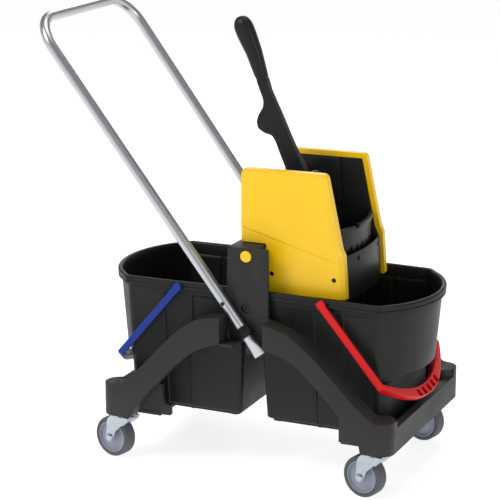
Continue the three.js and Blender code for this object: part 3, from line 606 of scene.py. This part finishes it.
group, source, sink = node_group("tube along a path", [
    ("Radius", "NodeSocketFloat", 0.01), ("Face", "NodeSocketVector", tuple(FACE)),
    ("Sides", "NodeSocketInt", 32)])
line = add(group, "GeometryNodeMeshToCurve", {"Mesh": source.outputs["Geometry"]})
section = add(group, "GeometryNodeCurvePrimitiveCircle", {"Resolution": source.outputs["Sides"],
                                                          "Radius": source.outputs["Radius"]})
swept = add(group, "GeometryNodeCurveToMesh", {"Curve": line.outputs[0],
                                               "Profile Curve": section.outputs["Curve"]})
spine = add(group, "GeometryNodeInputNamedAttribute", {"Name": "spine"}, data_type="FLOAT_VECTOR")
pinch = add(group, "GeometryNodeInputNamedAttribute", {"Name": "pinch"}, data_type="FLOAT_VECTOR")
factors = add(group, "ShaderNodeSeparateXYZ", {"Vector": pinch.outputs["Attribute"]})
place = add(group, "GeometryNodeInputPosition")
centre, face = spine.outputs["Attribute"], source.outputs["Face"]


def vector_math(operation, first, second):
    key = "Scale" if operation == "SCALE" else 1
    return add(group, "ShaderNodeVectorMath", {0: first, key: second}, operation=operation).outputs[0]


spoke = vector_math("SUBTRACT", place.outputs[0], centre)
wide = vector_math("PROJECT", spoke, face)
flat = vector_math("SUBTRACT", spoke, wide)
section_point = vector_math("ADD", vector_math("SCALE", wide, factors.outputs["X"]),
                            vector_math("SCALE", flat, factors.outputs["Y"]))
pinched = add(group, "GeometryNodeSetPosition", {"Geometry": swept.outputs[0],
                                                 "Position": vector_math("ADD", section_point, centre)})
finish_group(group, sink, pinched.outputs[0], MATERIALS["tube_metal"])
tube = grown("tube", path, [(i, i + 1) for i in range(len(path) - 1)], group,
             {"Radius": TUBE_R * MM, "Face": tuple(FACE), "Sides": 32},
             {"spine": [p * MM for p in path], "pinch": [(w, f, 0.0) for w, f in squeeze]})
tidy_mesh(tube)
print("swept skin", len(tube.vertices), "vertices round", len(path), "stations")
PIN_HOLE_Z, PIN_HOLE_R = 341.0, 4.0
drills = []
for sign in (1, -1):
    centre = leg_point(PIN_HOLE_Z)
    drills.append(lathe("drill", [(0.01, -16), (PIN_HOLE_R, -16), (PIN_HOLE_R, 16), (0.01, 16)],
                        at_mm(centre.x, sign * centre.y, centre.z) @ ALONG_Y, 24, False))
drill = bpy.data.objects.new("drill", joined(*drills))
bpy.context.scene.collection.objects.link(drill)
tube = with_modifiers(tube, "tube_work", [
    ("SOLIDIFY", {"thickness": 1.5 * MM, "offset": -1.0, "use_even_offset": True}),
    ("BOOLEAN", {"operation": "DIFFERENCE", "object": drill, "solver": "EXACT"})])
bpy.data.objects.remove(drill)
finish_piece("bent_tube_handle", tube, ["push_handle"], "tube_metal", 40)
print("handle tube", len(tube.polygons), "faces")

# %% [markdown]
# ## Release buttons
# A round yellow button on each column frees the wringer. It is domed, so that a thumb finds it.

# %% Domed buttons
BUTTON_X, BUTTON_Z = SHIFT_X - 9.0, 430.0
for sign, where in ((-1, "near"), (1, "far")):
    place = at_mm(BUTTON_X, 0, BUTTON_Z) @ (ALONG_Y if sign < 0 else ALONG_Y.inverted())
    dome = [(0.01, 148.4), (10.7, 148.4), (10.9, 150), (10.9, 156.2), (10.5, 157.2),
            (9.6, 157.8), (8.6, 157.5),
            (7.6, 157.6), (5.2, 158.4), (2.6, 158.8), (0.01, 158.9)]
    finish_piece(f"domed_button_{where}", lathe("button", dome, place, 48, False),
                 [f"release_button_{where}"], "yellow_plastic", 50)
print("buttons done")

# %% [markdown]
# ## Casters
# Four 80 mm swivel casters, all turned the same way. The wheel is a grey nylon disc with a raised
# hub and rim, and a soft tread is moulded round it. Both are turned shapes, so a profile spun
# about the axle makes them. The fork is bent from sheet steel, with a round ball race on top.

# %% Wheels, forks and axles
CASTER_X, CASTER_Y, TRAIL, WHEEL_R, SWIVEL = 260.0, 164.0, 27.0, 40.0, math.radians(-13)
TREAD = [(31.9, -11.4), (34.0, -12.6), (36.6, -13.4), (38.4, -13.0), (39.5, -11.6),
         (39.95, -9.6), (40.0, -6.0),
         (40.0, 6.0), (39.95, 9.6), (39.5, 11.6), (38.4, 13.0), (36.6, 13.4), (34.0, 12.6), (31.9, 11.4)]
HALF_DISC = [(4.9, 15.4), (8.6, 15.4), (9.6, 15.0), (10.0, 14.0), (10.2, 9.5), (11.2, 8.2),
             (13.0, 7.6), (20.0, 7.2),
             (26.6, 7.6), (28.2, 8.4), (28.8, 9.8), (29.0, 12.2), (29.6, 13.0),
             (30.8, 13.0), (31.6, 12.2), (31.7, 11.0)]
DISC = HALF_DISC + [(r, -y) for r, y in HALF_DISC[::-1]]
CORNERS = [("left_near", -1, -1), ("left_far", -1, 1), ("right_near", 1, -1), ("right_far", 1, 1)]


def fork_mesh():
    leg = [(-TRAIL - 8.5, 40), (-TRAIL - 6.8, 34.6), (-TRAIL - 3, 32), (-TRAIL + 3, 32), (-TRAIL + 7, 34.6),
           (-TRAIL + 9.5, 40), (-12, 55), (2, 68), (12, 76), (18.6, 83.4), (18.6, 87.6),
           (-21.6, 87.6), (-30, 80),
           (-33.6, 73)]
    hole = [(-TRAIL + 4.5 * math.cos(a), WHEEL_R + 4.5 * math.sin(a)) for a in
            (2 * math.pi * k / 20 for k in range(20))]
    legs = [plate("leg", leg, [hole], 2.5, 0.5, at_mm(0, y, 0) @ ALONG_Y) for y in (-17.6, 17.6)]
    crown = plate("crown", [(-21.8, -18.9), (18.8, -18.9), (18.8, 18.9), (-21.8, 18.9)], [], 3.6, 0.9,
                  at_mm(0, 0, 86.1))
    race = lathe("race", [(6, 83.5), (17.5, 83.5), (19.4, 84.4), (20.0, 86.0), (19.4, 87.4), (17.4, 88.1),
                          (6, 88.1)], Matrix(), 56)
    web = plate("web", [(3.4, 70.4), (18.6, 84.0), (18.6, 80.5), (5.8, 68.6)], [], 34.4, 0.6, ALONG_Y)
    return joined(*legs, crown, race, web)


def axle_mesh():
    rod = lathe("rod", [(0.01, -19.4), (4.0, -19.4), (4.0, 19.4), (0.01, 19.4)],
                at_mm(-TRAIL, 0, WHEEL_R) @ ALONG_Y, 24, False)
    head = lathe("head", [(0.01, 19.0), (7.4, 19.0), (7.7, 19.4), (7.0, 21.2), (4.8, 22.4),
                 (2.4, 22.6), (0.01, 22.6)],
                 at_mm(-TRAIL, 0, WHEEL_R) @ ALONG_Y, 36, False)
    nut = lathe("nut", [(0.01, 19.2), (6.9, 19.2), (7.0, 22.4), (6.2, 23.2), (0.01, 23.3)],
                at_mm(-TRAIL, 0, WHEEL_R) @ ALONG_Y.inverted(), 6, False)
    return joined(rod, head, nut)


MAKERS = {
    "tread": (lambda: lathe("tread", TREAD, at_mm(-TRAIL, 0, WHEEL_R) @ ALONG_Y, 96), "tyre_rubber"),
    "wheel": (lambda: lathe("disc", DISC, at_mm(-TRAIL, 0, WHEEL_R) @ ALONG_Y, 96), "wheel_plastic"),
    "fork": (fork_mesh, "zinc_steel"),
    "axle": (axle_mesh, "zinc_steel"),
    "mount": (lambda: joined(
        lathe("disc", [(0.01, 88.7), (19.6, 88.7), (20.8, 89.6), (20.9, 93.8), (20.2, 94.6), (0.01, 94.6)],
              Matrix(), 56, False),
        lathe("pin", [(0.01, 80.6), (4.2, 80.6), (4.9, 81.4), (4.9, 89.0), (0.01, 89.0)],
              Matrix(), 24, False)),
        "zinc_steel"),
}
for where, sx, sy in CORNERS:
    stand = at_mm(SHIFT_X + sx * CASTER_X, sy * CASTER_Y, 0) @ Matrix.Rotation(SWIVEL, 4, "Z")
    for part, (maker, slot) in MAKERS.items():
        mesh = maker()
        mesh.transform(stand)
        finish_piece(f"caster_{part}_{where}_detail", mesh, [f"caster_{part}_{where}"], slot, 40)
print("casters done,", len(made_pieces), "pieces so far")

# %% [markdown]
# ## Yellow side shells
# The wringer's flanks are hollow yellow trays. The outer face is set in from the edge by a broad
# slope at the front, a narrower one on top and hardly any at the back, and one crease crosses it,
# below which the face lies a little deeper. Every edge of the outline has its own inset, so the
# outline is moved edge by edge and its corners are found again where neighbours cross.

# %% Tray-shaped shells
SHELL = [(-38, 586, 10), (131, 588, 9), (161, 450, 3), (167, 438, 3), (173, 354, 5), (14, 353, 3),
         (13, 446.5, 3), (-38, 446.5, 4)]
TOP, FRONT, STEP, LOWER, BASE, NOTCH, SHELF, BACK = range(8)  # one name for each edge
SLOPE = {TOP: 1.0, FRONT: 1.5, STEP: 1.2, LOWER: 1.3, BASE: 0.3, NOTCH: 0.15, SHELF: 0.15, BACK: 0.25}


def moved(outline, offsets):
    """Each edge moved inwards by its own offset; corners are where the moved edges cross."""
    count = len(outline)
    lines = []
    for i, (x, z, _) in enumerate(outline):
        u, w, _ = outline[(i + 1) % count]
        along = Vector((u - x, w - z)).normalized()
        inward = Vector((along.y, -along.x))
        lines.append((Vector((x, z)) + inward * offsets[i], along))
    corners = []
    for i in range(count):
        (p, d), (q, e) = lines[i - 1], lines[i]
        cross = d.x * e.y - d.y * e.x
        t = ((q.x - p.x) * e.y - (q.y - p.y) * e.x) / cross
        corners.append((p + d * t, max(outline[i][2] - 0.4 * (offsets[i - 1] + offsets[i]), 1.2)))
    points = []
    for i, (c, radius) in enumerate(corners):
        a, b = corners[i - 1][0], corners[(i + 1) % count][0]
        points += bend(toward(c, a, radius), c, toward(c, b, radius), 10)
    return points


CREASE = (Vector((-27.0, 476.0)), Vector((153.0, 428.0)))


def shell_mesh(sign):
    def ring(depth, y, spread=False):
        offsets = [depth * (SLOPE[k] if spread else 1.0) for k in range(8)]
        return [(SHIFT_X + x, sign * y, z) for x, z in moved(SHELL, offsets)]
    rings = [ring(11, 113), ring(11, 95.0), ring(10.2, 94.2), ring(0.8, 94.2), ring(0.05, 95.0),
             ring(0.3, 107.4, True), ring(0.9, 108.8, True), ring(6.0, 115.1, True), ring(6.9, 115.8, True),
             ring(7.8, 116.0, True)]
    mesh = loft("shell", rings)
    bm = bmesh.new()
    bm.from_mesh(mesh)
    start, end = CREASE
    along = (end - start).normalized()
    down = Vector((along.y, 0, -along.x))
    for shift in (0.0, 4.0):
        spot = Vector((SHIFT_X + start.x, 0, start.y)) + down * shift
        everything = bm.verts[:] + bm.edges[:] + bm.faces[:]
        bmesh.ops.bisect_plane(bm, geom=everything, plane_co=spot * MM, plane_no=down)
    for vert in bm.verts:
        below = (vert.co - (Vector((SHIFT_X + start.x, 0, start.y)) + down * 4.0) * MM).dot(down)
        if abs(vert.co.y) > 110.0 * MM and below > -1e-6:
            vert.co.y -= sign * 1.4 * MM * min((abs(vert.co.y) / MM - 110) / 6, 1)
    bm.to_mesh(mesh)
    bm.free()
    return mesh


SCREW_SPOTS = [(25.0, 391.0), (150.0, 392.0)]
for sign, where in ((-1, "near"), (1, "far")):
    tools = [lathe("pit", [(0.01, 110.5), (4.3, 110.5), (4.6, 112), (4.6, 118), (0.01, 118)],
                   at_mm(SHIFT_X + x, 0, z) @ (ALONG_Y if sign < 0 else ALONG_Y.inverted()), 28, False)
             for x, z in SCREW_SPOTS]
    pit = bpy.data.objects.new("pit", joined(*tools))
    bpy.context.scene.collection.objects.link(pit)
    mesh = with_modifiers(shell_mesh(sign), "shell_work",
                          [("BOOLEAN", {"operation": "DIFFERENCE", "object": pit, "solver": "EXACT"})])
    bpy.data.objects.remove(pit)
    finish_piece(f"yellow_tray_{where}", mesh, [f"side_shell_{where}"], "yellow_plastic", 11)
print("shells done")

# %% [markdown]
# ## Screws
# Four recessed screws hold the trays and two show on the bowed front cover. They are all alike,
# so a tree makes one head with a six-sided socket and puts a copy at each point, turned to face
# outwards. The points carry their facing as an attribute.

# %% Socket screws grown on points
group, source, sink = node_group("socket screws", [
    ("Head radius", "NodeSocketFloat", 0.004), ("Head height", "NodeSocketFloat", 0.0026),
    ("Socket radius", "NodeSocketFloat", 0.0018)])
head = add(group, "GeometryNodeMeshCylinder", {"Vertices": 32, "Radius": source.outputs["Head radius"],
                                               "Depth": source.outputs["Head height"]})
socket = add(group, "GeometryNodeMeshCylinder", {"Vertices": 6, "Radius": source.outputs["Socket radius"],
                                                 "Depth": source.outputs["Head height"]})
half_up = add(group, "ShaderNodeCombineXYZ", {"Z": 0.0014})
raised = add(group, "GeometryNodeTransform", {"Geometry": socket.outputs["Mesh"],
                                              "Translation": half_up.outputs[0]})
drilled = add(group, "GeometryNodeMeshBoolean", {"Mesh 1": head.outputs["Mesh"]}, operation="DIFFERENCE")
group.links.new(raised.outputs[0], drilled.inputs["Mesh 2"])
facing = add(group, "GeometryNodeInputNamedAttribute", {"Name": "facing"}, data_type="FLOAT_VECTOR")
turned = add(group, "FunctionNodeAlignRotationToVector", {"Vector": facing.outputs["Attribute"]}, axis="Z")
placed = add(group, "GeometryNodeInstanceOnPoints", {"Points": source.outputs["Geometry"],
                                                     "Instance": drilled.outputs["Mesh"],
                                                     "Rotation": turned.outputs[0]})
finish_group(group, sink, placed.outputs[0], MATERIALS["dark_steel"])
spots, faces_out, nodes = [], [], []
for letter, (x, z) in zip("ab", SCREW_SPOTS):
    for sign, where in ((-1, "near"), (1, "far")):
        spots.append((SHIFT_X + x, sign * 112.4, z))
        faces_out.append((0, sign, 0))
        nodes.append(f"shell_screw_{letter}_{where}")
COVER_X, COVER_BOW, COVER_HALF_W, STUD_Z = SHIFT_X + 163.1, 10.0, 90.6, 419.0
for y in (-38.0, 74.0):
    spots.append((COVER_X + COVER_BOW * (1 - (y / COVER_HALF_W) ** 2), y, STUD_Z))
    faces_out.append((1, 0, 0))
sizes = {"Head radius": 4.1 * MM, "Head height": 2.6 * MM}
screws = grown("screws", spots, [], group, sizes, {"facing": faces_out})
finish_piece("socket_screws", screws, nodes, "dark_steel", 30)
print("screws", len(screws.polygons), "faces on", len(spots), "points")

# %% [markdown]
# ## Lever
# The lever is pulled to press the mop. Its blade is a thick moulding with a finger hook half way
# up, and a soft oval grip sits on its end.

# %% Blade and grip
LEVER_X, LEVER_Z = SHIFT_X + 40.0, 540.0
BLADE = [(22, 532, 0), (14, 552, 6), (7, 569, 0), (-4, 594, 0), (-12, 614, 5), (-20, 629, 6), (-37, 633, 5),
         (-50, 641, 4), (-53, 653, 3), (-50, 665, 3), (-40, 682, 3), (-39, 696, 6), (-47, 715, 4),
         (-53, 731, 1),
         (-51, 742, 1), (-39, 743, 1), (-33, 733, 1), (-27, 713, 5), (-4, 667, 10), (16, 624, 8),
         (25, 606, 8), (46, 570, 10), (62, 532, 0)]


def rounded(corners, steps=6):
    points = []
    for i, (x, z, radius) in enumerate(corners):
        here = (x, z)
        before, after = corners[i - 1][:2], corners[(i + 1) % len(corners)][:2]
        reach = min(radius, 0.45 * math.dist(here, before), 0.45 * math.dist(here, after))
        cut = bend(toward(here, before, reach), here, toward(here, after, reach), steps) if radius else [here]
        points += cut
    return points


blade = plate("blade", [(SHIFT_X + x, z) for x, z in rounded(BLADE)], [], 19.6, 2.2, ALONG_Y, 4)
hub = lathe("hub", [(8.4, -12.8), (20.6, -12.8), (21.6, -12.0), (22, -11), (22, 11), (21.6, 12.0),
                    (20.6, 12.8),
                    (8.4, 12.8)], at_mm(LEVER_X, 0, LEVER_Z) @ ALONG_Y, 64)
finish_piece("lever_blade", joined(blade, hub), ["lever_arm"], "black_plastic", 40)

GRIP = [(-43.5, 734, 9.0, 9.5), (-43.6, 734.6, 10.2, 10.6), (-45, 738, 10.8, 11.2), (-48, 745, 11.8, 11.8),
        (-55, 765, 13.2, 12.6), (-62, 785, 14.4, 13.4), (-69, 800, 15.8, 14.2), (-76, 815, 16.8, 14.9),
        (-81, 826, 17.1, 15.1), (-84.5, 834, 16.4, 14.6), (-87, 840, 14.6, 13.2), (-89, 845, 11.8, 10.8),
        (-90.2, 848.4, 8.2, 7.6), (-90.8, 850, 4.4, 4.2), (-91, 850.4, 1.2, 1.2)]


def grip_ring(x, z, half_x, half_y, lean=0.4, sides=48):
    ring = []
    for k in range(sides):
        a = 2 * math.pi * k / sides
        c, s = math.cos(a), math.sin(a)
        px = half_x * math.copysign(abs(c) ** 0.85, c)
        ring.append((SHIFT_X + x + px, half_y * math.copysign(abs(s) ** 0.85, s), z + px * lean))
    return ring


grip = loft("grip", [grip_ring(*station) for station in GRIP])
finish_piece("lever_soft_grip", grip, ["lever_grip"], "black_plastic", 60)
print("lever done;", len(made_pieces), "pieces in all")

# %% [markdown]
# ## Floor, light and camera
# A pale floor and wide soft lamps show form without hard shadows. The camera stands at the near
# right, a little above the object, with a long lens.

# %% Studio
studio = bpy.data.materials.new("pale studio paper")
studio.use_nodes = True
paper = studio.node_tree.nodes["Principled BSDF"]
paper.inputs["Base Color"].default_value = linear("#c8c8c8")
paper.inputs["Roughness"].default_value = 0.9
paper.inputs["Emission Color"].default_value = (1.0, 1.0, 1.0, 1.0)
paper.inputs["Emission Strength"].default_value = 0.78
floor_mesh = bpy.data.meshes.new("floor")
FLOOR_HALF, BELOW = 12.0, -0.5 * MM
corners = [(x * FLOOR_HALF, y * FLOOR_HALF, BELOW) for x, y in ((-1, -1), (1, -1), (1, 1), (-1, 1))]
floor_mesh.from_pydata(corners, [], [(0, 1, 2, 3)])
floor_mesh.materials.append(studio)
floor = bpy.data.objects.new("floor", floor_mesh)
bpy.context.scene.collection.objects.link(floor)
for name, spot, size, power, colour in (
        ("key", (-1.8, -2.4, 3.2), 1.6, 72, "#ffffff"), ("fill", (3.2, -1.8, 1.6), 1.4, 28, "#f4f7ff"),
        ("top", (0.2, 0.6, 3.6), 2.2, 34, "#ffffff"), ("back", (-1.2, 3.0, 2.2), 1.6, 24, "#ffffff")):
    data = bpy.data.lights.new(name, "AREA")
    data.shape, data.size, data.energy, data.color = "SQUARE", size, power, linear(colour)[:3]
    lamp = bpy.data.objects.new(name, data)
    lamp.location = spot
    lamp.rotation_euler = (Vector((0, 0, 0.35)) - Vector(spot)).to_track_quat("-Z", "Y").to_euler()
    bpy.context.scene.collection.objects.link(lamp)
world = bpy.data.worlds.new("studio")
world.use_nodes = True
sky = world.node_tree
where_to = add(sky, "ShaderNodeTexCoord").outputs["Generated"]
height = add(sky, "ShaderNodeSeparateXYZ", {"Vector": where_to})
fade = add(sky, "ShaderNodeMapRange", {"Value": height.outputs["Z"], "From Min": 0.02, "From Max": 0.35,
                                       "To Min": 1.0, "To Max": 0.28})
tone = add(sky, "ShaderNodeCombineColor", {c: fade.outputs[0] for c in ("Red", "Green", "Blue")})
sky.links.new(tone.outputs[0], sky.nodes["Background"].inputs["Color"])
sky.nodes["Background"].inputs["Strength"].default_value = 0.95
bpy.context.scene.world = world
bpy.context.scene.view_settings.view_transform = "Standard"
camera_data = bpy.data.cameras.new("camera")
camera_data.sensor_width, camera_data.lens = 36.0, 36.0 * 1981.8 / 500.0
camera = bpy.data.objects.new("camera", camera_data)
camera.location = Vector((1506.2, -3372.6, 1389.8)) * MM
target = Vector((-10.3, 0.0, 398.05)) * MM
camera.rotation_euler = (target - camera.location).to_track_quat("-Z", "Y").to_euler()
bpy.context.scene.collection.objects.link(camera)
bpy.context.scene.camera = camera
print("lens", round(camera_data.lens, 1), "mm")
